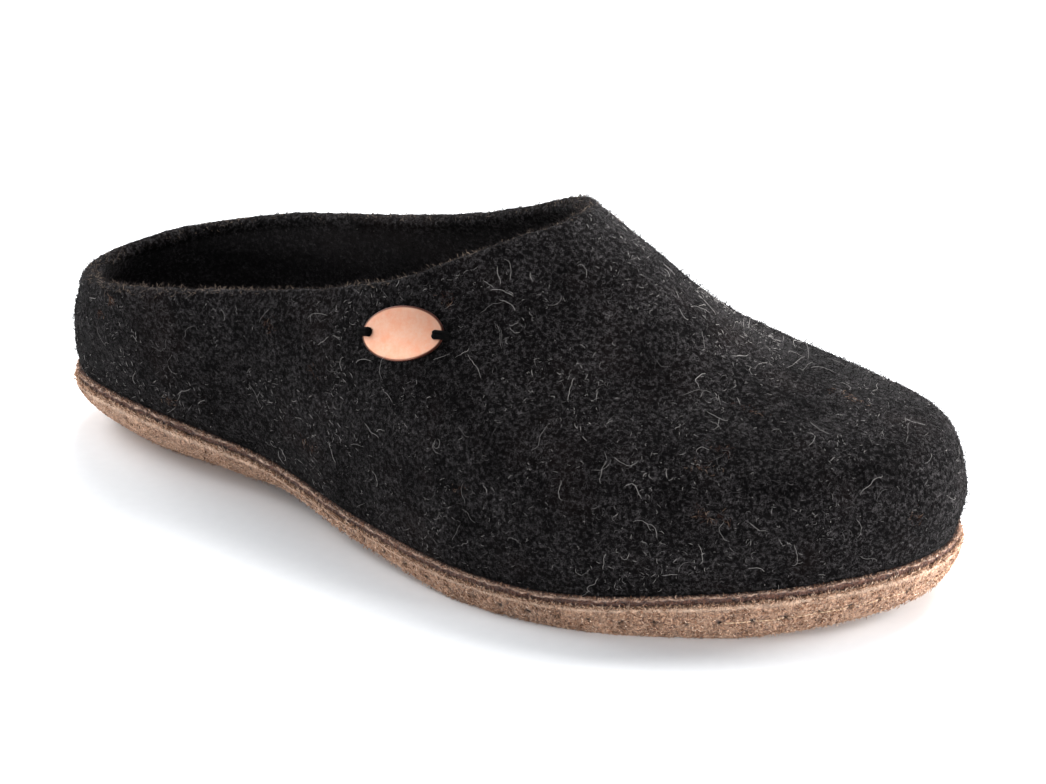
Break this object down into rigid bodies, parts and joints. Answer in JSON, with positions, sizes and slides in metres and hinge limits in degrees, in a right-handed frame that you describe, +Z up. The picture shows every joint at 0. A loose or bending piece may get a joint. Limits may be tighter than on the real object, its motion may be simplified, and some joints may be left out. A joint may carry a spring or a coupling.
{
  "type": "felt slipper",
  "caption": "Closed-toe house slipper: a thick felt wall with a low back and an open collar, on a thin wrapped suede sole, with a soft footbed and an oval metal badge.",
  "frame": {"origin": "on the floor under the middle of the slipper", "axes": "+X from the heel to the toe, +Y to the inner side of the foot, +Z up"},
  "size_m": [0.2732, 0.1096, 0.0924],
  "materials": {
    "felt": "thick charcoal wool felt, matt, with paler curled hairs lying over it",
    "suede": "tan split suede, napped and matt",
    "rand_leather": "cut edge of suede, darker than its nap, with a pale fuzzy lip",
    "footbed_felt": "felt-covered footbed, matt",
    "copper": "brushed copper sheet, satin, with worn dark edges"
  },
  "bodies": {
    "root": {"upper": "felt", "outsole": "suede", "rand": "rand_leather", "insole": "footbed_felt", "badge": "copper"}
  },
  "joints": []
}
